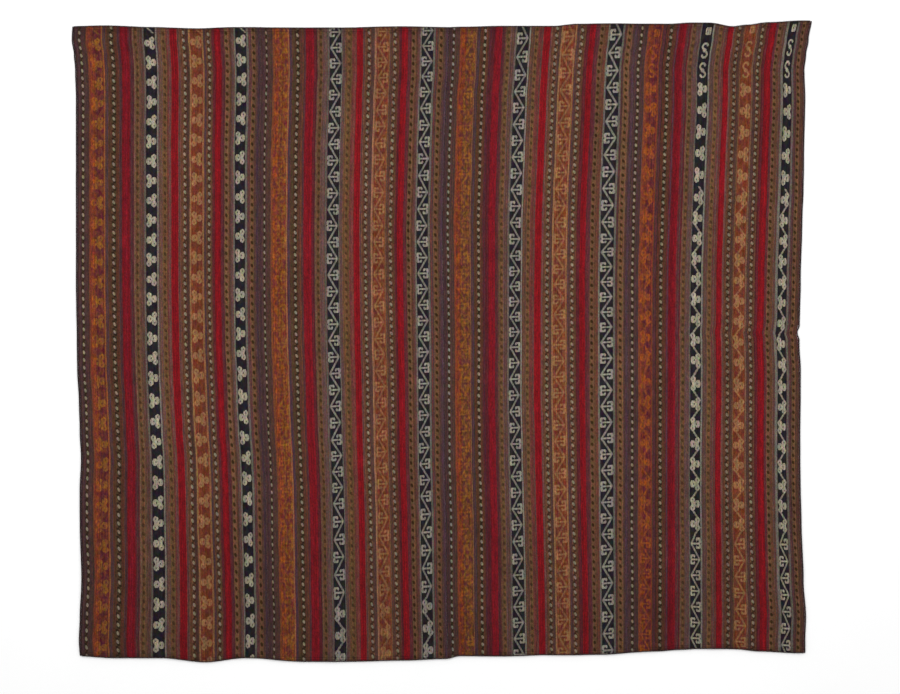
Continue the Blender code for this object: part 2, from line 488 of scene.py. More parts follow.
def mesh_from(name, points, faces, material):
    """A mesh object of quads from arrays of points and faces, with one material, shaded smooth."""
    mesh = bpy.data.meshes.new(name)
    mesh.from_pydata(points.reshape(-1, 3).tolist(), [], faces.tolist())
    mesh.materials.append(material)
    mesh.shade_smooth()
    mesh.update()
    piece = bpy.data.objects.new(name, mesh)
    bpy.context.scene.collection.objects.link(piece)
    return piece


def add_map(mesh, name, corners):
    """Give a mesh a UV map from an array of face corners."""
    layer = mesh.uv_layers.new(name=name)
    layer.uv.foreach_set("vector", corners.reshape(-1).astype(np.float32))


def add_face_colour(mesh, name, values):
    """Give each face of a mesh one colour or four numbers."""
    layer = mesh.attributes.new(name, "FLOAT_COLOR", "FACE")
    layer.data.foreach_set("color", values.reshape(-1).astype(np.float32))


# Small unevenness of the cloth: waves along and across it, as up, across, phase and height.
WAVES = (
    # wave along, wave across, phase, high
    (173, 96, 0.4, 0.5),
    (97, -140, 1.9, 0.4),
    (61, 210, 3.1, 0.3),
    (240, -75, 5.2, 0.5),
)


def unevenness(across, up):
    """Shallow waves of cloth that has lain folded, in millimetres above its lowest."""
    high = 0
    for along, sideways, phase, height in WAVES:
        turned = 2 * pi * (up / along + across / sideways) + phase + np.sin(across / 83 + up / 131)
        high = high + height * (1 + np.sin(turned)) / 2
    return high


def motif_cells(strip):
    """The motifs of one strip from the top down: what each is, the way it faces, and its centres."""
    cells = []
    for motif, faces, count, *ends in MOTIF_RUNS[strip]:
        for place in range(count):
            share = place / max(count - 1, 1)
            left = ends[0] + (ends[1] - ends[0]) * share
            right = ends[2] + (ends[3] - ends[2]) * share
            turned = (faces == "right") == (place % 2 == 0)
            cells.append((motif, turned, left, right))
    return cells


def stripe_columns(strip):
    """The upright mesh lines of one strip: a warp end number for each line and, for each column of
    faces, its stripe."""
    quarters = (0, 0.25, 0.5, 0.75, 1)
    fine = {"plain": (0, 0.5, 1), "dots": quarters, "specks": quarters, "flecks": quarters}
    lines, stripes, start = [0.0], [], 0.0
    for number, stripe in enumerate(STRIPES):
        ends = stripe[4 + strip]
        shares = fine.get(stripe[1], (0, 0.08, 0.3, 0.7, 0.92, 1))
        for share in shares[1:]:
            lines.append(start + ends * share)
            stripes.append(number)
        start += ends
    return np.array(lines), np.array(stripes)


def relief_at(strip, lines):
    """How far each upright mesh line stands above the cloth: stripes are ribs, motif bands double."""
    marks = np.cumsum([0] + [stripe[4 + strip] for stripe in STRIPES])
    relief = np.zeros(len(lines))
    for place, line in enumerate(lines):
        number = min(np.searchsorted(marks, line, side="right") - 1, len(STRIPES) - 1)
        share = (line - marks[number]) / (marks[number + 1] - marks[number])
        high = BAND_RIB if STRIPES[number][1] in BAND_SPANS else STRIPE_RIB
        relief[place] = high * (1 - (2 * share - 1) ** 6)
    relief[[0, -1]] = -EDGE_DROP
    return relief


def navy_shares(strip):
    """Where the middles of the two navy bands lie, as shares of the strip's width."""
    marks = np.cumsum([0] + [stripe[4 + strip] for stripe in STRIPES])
    names = [stripe[0] for stripe in STRIPES]
    left, right = names.index("navy left"), names.index("navy right")
    return [(marks[place] + marks[place + 1]) / 2 / marks[-1] for place in (left, right)]


def bow_at(strip, up, shares):
    """How far the stripes of one strip bow to the right at heights and shares of its width."""
    bow = np.zeros(up.shape)
    for place, share in enumerate((0.25, 0.5, 0.75)):
        near = np.clip(1 - abs(shares - share) / 0.25, 0, 1)
        bow += read_rows(BOW, up, 1 + strip * 3 + place) * near * near * (3 - 2 * near)
    return bow


def strip_grid(strip):
    """The mesh lines of one strip: places across and up, and motif numbers, by row and column."""
    lines, stripes = stripe_columns(strip)
    shares = lines / lines[-1]
    cells = motif_cells(strip)
    left_navy, right_navy = navy_shares(strip)
    slant = (shares - left_navy) / (right_navy - left_navy)
    centres = np.array([(left, right) for _, _, left, right in cells])
    bounds = (centres[:-1] + centres[1:]) / 2
    first, last = 2 * centres[0] - bounds[0], 2 * centres[-1] - bounds[-1]
    bounds = np.vstack([first, bounds, last])
    marks, heights = [], []
    for number, centre in enumerate(centres):
        upper, lower = bounds[number], bounds[number + 1]
        marks += [number - 0.5, number - 0.25, number, number + 0.25]
        heights += [upper, (upper + centre) / 2, centre, (centre + lower) / 2]
    marks.append(len(centres) - 0.5)
    heights.append(bounds[-1])
    marks, heights = np.array(marks)[::-1], np.array(heights)[::-1]
    motif_up = heights[:, :1] + (heights[:, 1:] - heights[:, :1]) * slant[None, :]

    left_side, right_side = SIDES[strip], SIDES[strip + 1]
    rough = LINE_PLACES[left_side] + (LINE_PLACES[right_side] - LINE_PLACES[left_side]) * shares
    low_end, high_end = end_at("bottom", rough), end_at("top", rough)
    clear = 6
    inside = (motif_up > low_end + HEM_DEEP + clear) & (motif_up < high_end - HEM_DEEP - clear)
    inner = motif_up[inside.all(axis=1)]
    low_hem, high_hem = low_end + HEM_DEEP, high_end - HEM_DEEP
    low_rows = [low_end, low_end + 2, low_hem, low_hem + 1]
    thirds = (0.33, 0.66)
    low_rows += [low_hem + 1 + (inner[0] - low_hem - 1) * share for share in thirds]
    high_rows = [inner[-1] + (high_hem - 1 - inner[-1]) * share for share in thirds]
    high_rows += [high_hem - 1, high_hem, high_end - 2, high_end]
    up = np.vstack([low_rows, inner, high_rows])

    number = np.empty_like(up)
    for column in range(up.shape[1]):
        number[:, column] = np.interp(up[:, column], motif_up[:, column], marks)
    left, right = line_at(left_side, up), line_at(right_side, up)
    across = left + (right - left) * shares + bow_at(strip, up, shares)
    sides = (left_side, right_side)
    room = [CORD_THICK / 2 + GAP if side in CORD_ENDS else GAP / 2 for side in sides]
    across += room[0] * np.clip(1 - shares / EDGE_SHARE, 0, 1)
    across -= room[1] * np.clip(1 - (1 - shares) / EDGE_SHARE, 0, 1)
    return across, up, number, lines, stripes, cells


def strip_of_cloth(strip, material):
    """One strip of the weaving as a closed sheet, with what each face is woven in."""
    across, up, number, lines, stripes, cells = strip_grid(strip)
    rows, columns = across.shape
    base = lift_at(across, up) + unevenness(across, up)
    thick = np.full(rows, CLOTH_THICK)
    thick[[0, -1]] = HEM_THICK - HEM_DROP
    thick[[1, 2, -3, -2]] = HEM_THICK
    top = base + thick[:, None] + relief_at(strip, lines)[None, :]
    points = np.stack([placed(across, up, base), placed(across, up, top)])

    ids = np.arange(rows * columns).reshape(rows, columns)
    quad = np.stack([ids[:-1, :-1], ids[:-1, 1:], ids[1:, 1:], ids[1:, :-1]], axis=-1).reshape(-1, 4)
    upper = quad + rows * columns
    lower = quad[:, ::-1]
    grid_rows, grid_columns = np.indices((rows - 1, columns - 1)).reshape(2, -1)
    rims = []
    for low, high in (
        (ids[0, :-1], ids[0, 1:]),
        (ids[-1, 1:], ids[-1, :-1]),
        (ids[1:, 0], ids[:-1, 0]),
        (ids[:-1, -1], ids[1:, -1]),
    ):
        rims.append(np.stack([low, high, high + rows * columns, low + rows * columns], axis=-1))
    faces = np.vstack([upper, lower, *rims])
    piece = mesh_from("cloth_" + str(strip + 1), points, faces, material)

    # Each face takes its stripe and motif from the grid cell that it stands over.
    rim_rows = [np.zeros(columns - 1), np.full(columns - 1, rows - 2)] + [np.arange(rows - 1)] * 2
    rim_columns = [np.arange(columns - 1)] * 2 + [np.zeros(rows - 1), np.full(rows - 1, columns - 2)]
    face_row = np.concatenate([grid_rows, grid_rows, *rim_rows]).astype(int)
    face_column = np.concatenate([grid_columns, grid_columns, *rim_columns]).astype(int)
    under = np.zeros(len(faces), bool)
    under[len(quad):2 * len(quad)] = True
    corner = faces % (rows * columns)
    corner_row, corner_column = corner // columns, corner % columns

    middle = (number[:-1, :-1] + number[1:, 1:]) / 2
    cell = np.clip(np.rint(middle[face_row, face_column]).astype(int), 0, len(cells) - 1)
    off = cell[:, None] - number[corner_row, corner_column]
    draft = np.zeros((len(faces), 4))
    ground, figure = np.zeros((len(faces), 4)), np.zeros((len(faces), 4))
    repeat = np.zeros((len(faces), 4, 2))
    stripe_of = stripes[face_column]
    stripe_start = np.cumsum([0] + [s[4 + strip] for s in STRIPES])
    counts = np.array(DOT_COUNTS)
    dots_below = np.interp(up, counts[:, 0], counts[:, 1 + strip])
    for place, stripe in enumerate(STRIPES):
        own = stripe_of == place
        name, weave = stripe[:2]
        yarns = OTHER_YARNS.get((strip, name), stripe[2:4])
        ends = stripe[4 + strip]
        ground[own] = colour_from(YARNS[yarns[0]])
        mottle = MOTTLED[name][strip] if name in MOTTLED else 0
        figure[own] = (*colour_from(YARNS[yarns[1]])[:3], mottle)
        share = (lines[corner_column[own]] - stripe_start[place]) / ends
        share = np.clip(share, 0, 1)
        if weave in BAND_SPANS:
            first, last = BAND_SPANS[weave]
            repeat[own, :, 0] = first + (last - first) * share
        else:
            repeat[own, :, 0] = share
            below = dots_below[corner_row[own], corner_column[own]]
            repeat[own, :, 1] = below + place * DOT_STAGGER
            if weave in DOT_WEAVES:
                gap, slant, half = DOT_WEAVES[weave]
                draft[own] = (1, gap, slant, min(half / ends, WIDEST_DOT))
    band = np.isin([s[1] for s in STRIPES], list(BAND_SPANS))[stripe_of]
    for place, (motif, turned, _, _) in enumerate(cells):
        own = band & (cell == place)
        chart, half, start, slope = MOTIFS[motif]
        if turned:
            repeat[own, :, 0] = CHART_ENDS - repeat[own, :, 0]
        repeat[own, :, 1] = off[own] * 2 * half
        which = NO_CHART if chart is None else CHART_NAMES.index(chart)
        draft[own] = (2, which, start, slope)
    swapped = under & (draft[:, 0] > 0)
    ground[swapped], figure[swapped] = figure[swapped], ground[swapped].copy()
    add_face_colour(piece.data, "ground", ground)
    add_face_colour(piece.data, "figure", figure)
    add_face_colour(piece.data, "draft", draft)
    add_map(piece.data, "repeat", repeat)
    warp_end = lines[corner_column] + strip * LOT_STEP
    add_map(piece.data, "weave", np.stack([warp_end, up[corner_row, corner_column]], axis=-1))
    edges = np.minimum(up[-1] - up, up - up[0])
    hem_map = np.stack([edges, edges], axis=-1)[corner_row, corner_column]
    add_map(piece.data, "hem", hem_map)
    bake_map = bake_places(faces, corner_row, corner_column, face_row, under, lines, up)
    add_map(piece.data, "OFBake", bake_map)
    return piece


def bake_places(faces, corner_row, corner_column, face_row, under, lines, up):
    """The sheet laid out for baking, in metres: its face in two halves side by side, with its rims
    just outside them, and its back small above them."""
    sheet_side, margin = 0.96, 0.008
    wide, second, rim = 0.445, 0.478, 0.003
    back_long, back_low, back_wide = 1.56, 0.85, 0.095
    fold = up.shape[0] // 2
    share = lines[corner_column] / lines[-1]
    along = up[corner_row, corner_column] * MM
    high_half = (face_row >= fold)[:, None]
    down = (faces < up.size) & ~under[:, None]
    right = margin + share * wide + np.where(high_half, second, 0)
    fold_up = up[fold].min() * MM
    upward = margin + np.where(high_half, along - fold_up, along)
    right = np.where(down & (share <= 0), right - rim, right)
    right = np.where(down & (share >= 1), right + rim, right)
    upward = np.where(down & (corner_row == 0), upward - rim, upward)
    upward = np.where(down & (corner_row == up.shape[0] - 1), upward + rim, upward)
    back_right = margin + along / back_long * (sheet_side - 2 * margin)
    back_up = back_low + share * back_wide
    places = np.stack([right, upward], axis=-1)
    places[under] = np.stack([back_right, back_up], axis=-1)[under]
    return places / sheet_side


def add(tree, kind, inputs=(), **settings):
    """Add one shader node. Inputs go by number or name: a value, a node or one of its sockets."""
    made = tree.nodes.new("ShaderNode" + kind)
    for name, value in settings.items():
        setattr(made, name, value)
    for place, value in inputs.items() if isinstance(inputs, dict) else enumerate(inputs):
        if isinstance(value, bpy.types.Node):
            value = value.outputs[0]
        if isinstance(value, bpy.types.NodeSocket):
            tree.links.new(value, made.inputs[place])
        elif value is not None:
            made.inputs[place].default_value = value
    return made


def new_material(name):
    """An empty node material with its shader joined to the output."""
    material = bpy.data.materials.new(name)
    material.use_nodes = True
    tree = material.node_tree
    tree.nodes.clear()
    shader = add(tree, "BsdfPrincipled")
    add(tree, "OutputMaterial", [shader])
    return material, tree, shader


def chart_ramp(tree, place):
    """The charts as one stepped ramp: a stop for each line, its 24 ends held in three channels."""
    ramp = add(tree, "ValToRGB", [place])
    ramp.color_ramp.interpolation = "CONSTANT"
    stops = ramp.color_ramp.elements
    lines = [line for chart in CHARTS.values() for line in chart]
    for number, line in enumerate(lines):
        bits = line.replace("#", "1").replace(".", "0")
        colour = [int(bits[start:start + 8], 2) / 256 for start in (0, 8, 16)]
        stop = stops[number] if number < 1 else stops.new(number / len(lines))
        if number == 1:
            stops.remove(stops[-1])
            stop = stops[1]
        stop.color = (*colour, 1)
    return ramp


def striped_wool():
    """Handspun wool, vegetable dyed and tightly woven so that the warp hides the weft: matt, with a
    fine upright rib for every warp end and each motif stepped end by end and pick by pick."""
    material, tree, shader = new_material("warp faced dyed wool")
    weave = add(tree, "SeparateXYZ", [add(tree, "UVMap", uv_map="weave")])
    end_number = add(tree, "Math", [weave.outputs[0]], operation="FLOOR")
    end_in = add(tree, "Math", [weave.outputs[0]], operation="FRACT")
    along = add(tree, "Math", [weave.outputs[1], PICK_MM], operation="DIVIDE")
    odd = add(tree, "Math", [end_number, 2], operation="MODULO")
    stagger = add(tree, "Math", [odd, 0.5, along], operation="MULTIPLY_ADD")
    pick_in = add(tree, "Math", [stagger], operation="FRACT")
    pick_number = add(tree, "Math", [stagger], operation="FLOOR")

    # What is woven here: a plain stripe, a row of dots or a motif.
    draft = add(tree, "SeparateColor", [add(tree, "Attribute", attribute_name="draft").outputs["Color"]])
    slope = add(tree, "Attribute", attribute_name="draft").outputs["Alpha"]
    repeat = add(tree, "SeparateXYZ", [add(tree, "UVMap", uv_map="repeat")])
    in_dots = add(tree, "Math", [draft.outputs[0], 1, 0.1], operation="COMPARE")
    in_band = add(tree, "Math", [draft.outputs[0], 2, 0.1], operation="COMPARE")

    # Motif: the line and end of the chart that this spot falls on.
    end = add(tree, "Math", [repeat.outputs[0]], operation="FLOOR")
    low_half = add(tree, "Math", [repeat.outputs[1], 0], operation="LESS_THAN")
    is_ess = add(tree, "Math", [draft.outputs[1], CHART_NAMES.index("ess"), 0.1], operation="COMPARE")
    turn = add(tree, "Math", [low_half, is_ess], operation="MULTIPLY")
    other_end = add(tree, "Math", [CHART_ENDS - 1, end], operation="SUBTRACT")
    end = add(tree, "Mix", {0: turn, 2: end, 3: other_end})
    off = add(tree, "Math", [repeat.outputs[1]], operation="ABSOLUTE")
    line = add(tree, "Math", [off], operation="FLOOR")
    on_chart = add(tree, "Math", [line, CHART_PICKS - 0.5], operation="LESS_THAN")
    has_chart = add(tree, "Math", [draft.outputs[1], NO_CHART - 0.5], operation="LESS_THAN")
    place = add(tree, "Math", [draft.outputs[1], CHART_PICKS, line], operation="MULTIPLY_ADD")
    total = CHART_PICKS * len(CHART_NAMES)
    place = add(tree, "Math", [place, 1 / total, 0.5 / total], operation="MULTIPLY_ADD")
    held = chart_ramp(tree, place)
    third = add(tree, "Math", [end, 8], operation="DIVIDE")
    third = add(tree, "Math", [third], operation="FLOOR")
    chosen = [add(tree, "Math", [third, number, 0.1], operation="COMPARE") for number in range(3)]
    chosen = add(tree, "CombineXYZ", chosen)
    byte = add(tree, "VectorMath", [held, chosen], operation="DOT_PRODUCT").outputs[1]
    from_left = add(tree, "Math", [end, 8], operation="MODULO")
    weight = add(tree, "Math", [from_left, -7], operation="ADD")
    weight = add(tree, "Math", [2, weight], operation="POWER")
    bit = add(tree, "Math", [byte, weight], operation="MULTIPLY")
    bit = add(tree, "Math", [bit, 256, 0.001], operation="MULTIPLY_ADD")
    bit = add(tree, "Math", [bit], operation="FLOOR")
    bit = add(tree, "Math", [bit, 2], operation="MODULO")
    bit = add(tree, "Math", [bit, on_chart], operation="MULTIPLY")
    motif = add(tree, "Math", [bit, has_chart], operation="MULTIPLY")

    # The diagonal line that joins one motif to the next.
    pick_middle = add(tree, "Math", [line, 0.5], operation="ADD")
    run = add(tree, "Math", [slope, pick_middle, draft.outputs[2]], operation="MULTIPLY_ADD")
    beside = add(tree, "Math", [end, 0.5], operation="ADD")
    beside = add(tree, "Math", [beside, run], operation="SUBTRACT")
    beside = add(tree, "Math", [beside], operation="ABSOLUTE")
    joined = add(tree, "Math", [beside, LINE_HALF], operation="LESS_THAN")
    past_pair = add(tree, "Math", [run, LINE_HALF], operation="GREATER_THAN")
    joined = add(tree, "Math", [joined, past_pair], operation="MULTIPLY")

    # Dots: a slanted oval in each repeat and the gap before the next, between two plain margins.
    dot_up = add(tree, "Math", [repeat.outputs[1]], operation="FRACT")
    dot_up = add(tree, "Math", [dot_up, 0.5], operation="SUBTRACT")
    dot_right = add(tree, "Math", [repeat.outputs[0], 0.5], operation="SUBTRACT")
    dot_right = add(tree, "Math", [dot_up, draft.outputs[2], dot_right], operation="MULTIPLY_ADD")
    wide_share = add(tree, "Math", [dot_right, slope], operation="DIVIDE")
    high_share = add(tree, "Math", [dot_up, DOT_HALF_HIGH], operation="DIVIDE")
    shares = add(tree, "CombineXYZ", [wide_share, high_share, 0])
    oval = add(tree, "VectorMath", [shares], operation="LENGTH").outputs[1]
    dot = add(tree, "MapRange", [oval, 0.8, 1.15, 1, 0])
    dotted = add(tree, "Math", [dot, in_dots], operation="MULTIPLY")
    aside = add(tree, "Math", [wide_share], operation="ABSOLUTE")
    in_gap = add(tree, "MapRange", [aside, 0.9, 1.2, 1, 0])
    in_gap = add(tree, "Math", [in_gap, in_dots], operation="MULTIPLY")
    in_gap = add(tree, "Math", [in_gap, dotted], operation="SUBTRACT", use_clamp=True)
    gap_between = add(tree, "Mix", {0: in_gap, 2: 1.0, 3: draft.outputs[1]})

    figured = add(tree, "Math", [motif, in_band, dotted], operation="MULTIPLY_ADD")
    lined = add(tree, "Math", [joined, in_band], operation="MULTIPLY")
    lined = add(tree, "Math", [lined, LINE_STRENGTH], operation="MULTIPLY")
    shown = add(tree, "Math", [figured, lined], operation="MAXIMUM")

    # Plain stripes hold a few ends of their second yarn.
    plain = add(tree, "Math", [draft.outputs[0], 0.5], operation="LESS_THAN")
    lot = add(tree, "TexWhiteNoise", {"W": end_number}, noise_dimensions="1D")
    stray = add(tree, "Math", [lot.outputs[0], STRAY_SHARE], operation="LESS_THAN")
    stray = add(tree, "Math", [stray, plain], operation="MULTIPLY")
    shown = add(tree, "Math", [stray, STRAY_STRENGTH, shown], operation="MULTIPLY_ADD")

    # In the bands of two close colours the yarns change places in small patches.
    figure_of = add(tree, "Attribute", attribute_name="figure")
    patch_at = add(tree, "CombineXYZ", [
        add(tree, "Math", [end_number, 0.16], operation="MULTIPLY"),
        add(tree, "Math", [weave.outputs[1], 0.075], operation="MULTIPLY"), 0])
    patch = add(tree, "TexNoise", {"Vector": patch_at, "Scale": 1.0, "Detail": 2.0})
    swapped = add(tree, "MapRange", [patch.outputs[0], 0.44, 0.56, 0, 1])
    shown = add(tree, "Mix", {0: figure_of.outputs["Alpha"], 2: shown, 3: swapped})
    ground = add(tree, "Attribute", attribute_name="ground").outputs["Color"]
    yarn = add(tree, "Mix", {0: shown, 6: ground, 7: figure_of.outputs["Color"]}, data_type="RGBA")
    dark_patch = add(tree, "SeparateColor", [patch.outputs["Color"]])
    dark_patch = add(tree, "MapRange", [dark_patch.outputs[2], 0.5, 0.6, 0, 1])
    dark_patch = add(tree, "Math", [dark_patch, figure_of.outputs["Alpha"]], operation="MULTIPLY")
    wine = colour_from(YARNS["wine"])
    yarn = add(tree, "Mix", {0: dark_patch, 6: yarn.outputs[2], 7: wine}, data_type="RGBA").outputs[2]

    # Each pair of ends has its own dye lot, and each lot drifts along the cloth.
    pair = add(tree, "Math", [end_number, 2], operation="DIVIDE")
    pair = add(tree, "Math", [pair], operation="FLOOR")
    lot_of_pair = add(tree, "TexWhiteNoise", {"W": pair}, noise_dimensions="1D")
    drift_at = add(tree, "CombineXYZ", [
        add(tree, "Math", [end_number, 0.37], operation="MULTIPLY"),
        add(tree, "Math", [weave.outputs[1], 0.03], operation="MULTIPLY"), 0])
    drift = add(tree, "TexNoise", {"Vector": drift_at, "Scale": 1.0, "Detail": 3.0})
    lot_tone = add(tree, "MapRange", [lot_of_pair.outputs[0], 0, 1, 0.8, 1.2])
    drift_tone = add(tree, "MapRange", [drift.outputs[0], 0.3, 0.7, 0.8, 1.2])
    tone = add(tree, "Math", [lot_tone, drift_tone], operation="MULTIPLY")
    seed = add(tree, "TexWhiteNoise", [add(tree, "CombineXYZ", [end_number, pick_number, 0])])
    seed_tone = add(tree, "MapRange", [seed.outputs[0], 0, 1, 0.7, 1.3])

    # The dye is uneven too: the hue wanders along each end, and from one slub of yarn to the next.
    slub_number = add(tree, "Math", [pick_number, 2], operation="DIVIDE")
    slub_number = add(tree, "Math", [slub_number], operation="FLOOR")
    slub = add(tree, "TexWhiteNoise", [add(tree, "CombineXYZ", [pair, slub_number, 3])])
    slub_hue = add(tree, "VectorMath", {
        0: slub.outputs["Color"], 1: (0.3, 0.3, 0.36)}, operation="MULTIPLY")
    drift_hue = add(tree, "VectorMath", {
        0: drift.outputs["Color"], 1: (0.6, 0.7, 0.9), 2: slub_hue}, operation="MULTIPLY_ADD")
    hue = add(tree, "VectorMath", {0: drift_hue, 1: (0.55, 0.5, 0.37)}, operation="ADD")

    # Ends are round and float over one pick after another: painted shade darkens the gaps between them
    # and a painted highlight lightens their crowns, and the same shape makes the bump.
    round_end = add(tree, "Math", [end_in, -0.5], operation="ADD")
    round_end = add(tree, "Math", [round_end, 2], operation="MULTIPLY")
    round_end = add(tree, "Math", [round_end, 2], operation="POWER")
    round_pick = add(tree, "Math", [pick_in, -0.5], operation="ADD")
    round_pick = add(tree, "Math", [round_pick, 2], operation="MULTIPLY")
    round_pick = add(tree, "Math", [round_pick, 4], operation="POWER")
    sunk = add(tree, "Math", [round_pick, 0.6, round_end], operation="MULTIPLY_ADD")
    # Painted shade in the gaps between ends and a painted highlight on their crowns.
    painted_yarn_shade = add(tree, "MapRange", [sunk, 0.3, 1.6, 1.08, 0.62])

    # Soil and wear: broad patches. Painted shade darkens the foot, and the head is a little darker
    # towards the top.
    object_place = add(tree, "TexCoord").outputs["Object"]
    patches = add(tree, "TexNoise", {"Vector": object_place, "Scale": 7.0, "Detail": 3.0})
    patch_tone = add(tree, "MapRange", [patches.outputs[0], 0.3, 0.7, 0.92, 1.08])
    # Painted shade: the cloth darker towards its foot, as where less light falls.
    painted_foot_shade = add(tree, "MapRange", [weave.outputs[1], 0, 560, 0.78, 1.0])
    head = add(tree, "MapRange", [weave.outputs[1], 1200, 1540, 1.0, 0.92])

    # The turned hem: a few dark picks show as fine lines across it.
    hem = add(tree, "SeparateXYZ", [add(tree, "UVMap", uv_map="hem")])
    hem_line = add(tree, "Math", [hem.outputs[0], HEM_LINE_EVERY], operation="DIVIDE")
    hem_line = add(tree, "Math", [hem_line], operation="FRACT")
    hem_line = add(tree, "Math", [hem_line, HEM_LINE_SHARE], operation="LESS_THAN")
    in_hem = add(tree, "Math", [hem.outputs[0], HEM_DEEP], operation="LESS_THAN")
    hem_line = add(tree, "Math", [hem_line, in_hem], operation="MULTIPLY")
    hem_tone = add(tree, "MapRange", [hem_line, 0, 1, 1.0, 0.68])
    for share in (seed_tone, gap_between, painted_yarn_shade, patch_tone, painted_foot_shade, head, hem_tone):
        tone = add(tree, "Math", [tone, share], operation="MULTIPLY")
    dyed = add(tree, "VectorMath", {0: yarn, 1: hue}, operation="MULTIPLY")
    coloured = add(tree, "VectorMath", {0: dyed, 3: tone}, operation="SCALE")

    # Lint and dust lighten the dark yarns of the bands in soft spots.
    lint = add(tree, "VectorMath", {
        0: patch.outputs["Color"], 1: (0.45, 0.45, 0.45)}, operation="SUBTRACT")
    lint = add(tree, "VectorMath", {0: lint, 3: in_band}, operation="SCALE")
    linted = add(tree, "VectorMath", {
        0: lint, 1: (0.03, 0.025, 0.032), 2: coloured}, operation="MULTIPLY_ADD")
    tree.links.new(linted.outputs[0], shader.inputs["Base Color"])

    rough = add(tree, "MapRange", [seed.outputs[0], 0, 1, 0.82, 0.96])
    tree.links.new(rough.outputs[0], shader.inputs["Roughness"])
    height = add(tree, "Math", [sunk, -0.5, seed.outputs[0]], operation="MULTIPLY_ADD")
    bump = add(tree, "Bump", {"Strength": 0.6, "Distance": 0.0004, "Height": height})
    tree.links.new(bump.outputs[0], shader.inputs["Normal"])
    shader.inputs["IOR"].default_value = 1.5
    shader.inputs["Specular IOR Level"].default_value = 0.1
    return material


def dark_wool(name, code):
    """Undyed dark wool, plied and wound on by hand: matt, a little uneven from one turn to the next."""
    material, tree, shader = new_material(name)
    place = add(tree, "TexCoord").outputs["Object"]
    turns = add(tree, "TexNoise", {"Vector": place, "Scale": 420.0, "Detail": 2.0})
    worn = add(tree, "TexNoise", {"Vector": place, "Scale": 14.0, "Detail": 3.0})
    mixed = add(tree, "Math", [turns.outputs[0], worn.outputs[0]], operation="MULTIPLY")
    tone = add(tree, "MapRange", [mixed, 0.1, 0.4, 0.6, 1.5])
    coloured = add(tree, "VectorMath", {0: colour_from(code)[:3], 3: tone}, operation="SCALE")
    tree.links.new(coloured.outputs[0], shader.inputs["Base Color"])
    rough = add(tree, "MapRange", [turns.outputs[0], 0.3, 0.7, 0.8, 0.95])
    tree.links.new(rough.outputs[0], shader.inputs["Roughness"])
    plies = add(tree, "TexWave", {"Vector": place, "Scale": 300.0, "Distortion": 2.0})
    bump = add(tree, "Bump", {"Strength": 0.5, "Distance": 0.0003, "Height": plies.outputs[0]})
    tree.links.new(bump.outputs[0], shader.inputs["Normal"])
    shader.inputs["IOR"].default_value = 1.5
    shader.inputs["Specular IOR Level"].default_value = 0.25
    return material


def overcast_cord(side, material):
    """The outer warps of one side, wound close with dark yarn. The turns lean a little."""
    pitch, round_steps, steps_a_turn = 2.6, 10, 4
    between, turn_high, rounded, thinned = 0.25, 0.35, 1.5, 0.3
    across_end = CORD_ENDS[side]
    low, high = end_at("bottom", across_end), end_at("top", across_end)
    up = np.linspace(low, high, int((high - low) / pitch * steps_a_turn))[:, None]
    angle = np.linspace(0, 2 * pi, round_steps, endpoint=False)[None, :]
    winding = np.abs(np.sin(pi * (up / pitch + angle / (2 * pi))))
    radius = CORD_THICK / 2 - between + turn_high * winding
    from_end = np.minimum(up - low, high - up)
    radius = radius * np.sqrt(np.clip(from_end / rounded, 0, 1) * 0.9 + 0.1)
    if side == "right":
        off_worn = np.clip(abs(up - WORN_UP) / WORN_HALF_LONG, 0, 1)
        radius = radius * (1 - thinned * (1 + np.cos(pi * off_worn)) / 2)
    middle = line_at(side, up)
    across = middle + radius * np.cos(angle)
    height = lift_at(middle, up) + unevenness(middle, up) + CORD_THICK / 2 + radius * np.sin(angle)
    points = placed(across, np.broadcast_to(up, across.shape), height)
    rows = len(up)
    ids = np.arange(rows * round_steps).reshape(rows, round_steps)
    after = np.roll(ids, -1, axis=1)
    faces = np.stack([ids[:-1], after[:-1], after[1:], ids[1:]], axis=-1).reshape(-1, 4)
    return mesh_from("overcast_" + side, points, faces, material)


def stitches(name, starts, ends, thick, material):
    """A row of short stitches in one mesh: each an arched tube from its start point to its end point."""
    rings, sides = 5, 6
    share = np.linspace(0, 1, rings)[None, :, None]
    line = starts[:, None, :] + (ends - starts)[:, None, :] * share
    arch = np.sin(pi * share) * thick * 0.9
    line = line + arch * np.array([0, 0, 1.0])
    way = (ends - starts) / np.linalg.norm(ends - starts, axis=1, keepdims=True)
    side_way = np.cross(way, np.array([0, 0, 1.0]))
    side_way /= np.linalg.norm(side_way, axis=1, keepdims=True)
    angle = np.linspace(0, 2 * pi, sides, endpoint=False)
    radius = thick / 2 * np.sqrt(np.clip(np.sin(pi * share), 0.15, 1))
    ring = (side_way[:, None, None, :] * np.cos(angle)[None, None, :, None]
            + np.array([0, 0, 1.0]) * np.sin(angle)[None, None, :, None])
    points = line[:, :, None, :] + ring * radius[:, :, :, None]
    count = len(starts)
    ids = np.arange(count * rings * sides).reshape(count, rings, sides)
    after = np.roll(ids, -1, axis=2)
    faces = np.stack([ids[:, :-1], after[:, :-1], after[:, 1:], ids[:, 1:]], axis=-1).reshape(-1, 4)
    return mesh_from(name, points, faces, material)


def top_of_cloth(across, up):
    """How high the face of the cloth lies."""
    return lift_at(across, up) + unevenness(across, up) + CLOTH_THICK


def seam_sewing(number, material):
    """The sewing that joins two strips: short slanted stitches across the seam, unevenly spaced."""
    spread = np.random.default_rng(20 + number)
    side = "seam_" + str(number)
    place = LINE_PLACES[side]
    from_end, apart = 5, 7.0
    up = np.arange(end_at("bottom", place) + from_end, end_at("top", place) - 4, apart)
    up = up + spread.uniform(-1.2, 1.2, len(up))
    middle = line_at(side, up)
    half = spread.uniform(1.5, 2.1, len(up))
    low, high = up - 1.0, up + 1.0
    starts = placed(middle - half, low, top_of_cloth(middle, low) - 0.2)
    ends = placed(middle + half, high, top_of_cloth(middle, high) - 0.2)
    return stitches("sewing_" + side, starts, ends, 0.8 * MM, material)


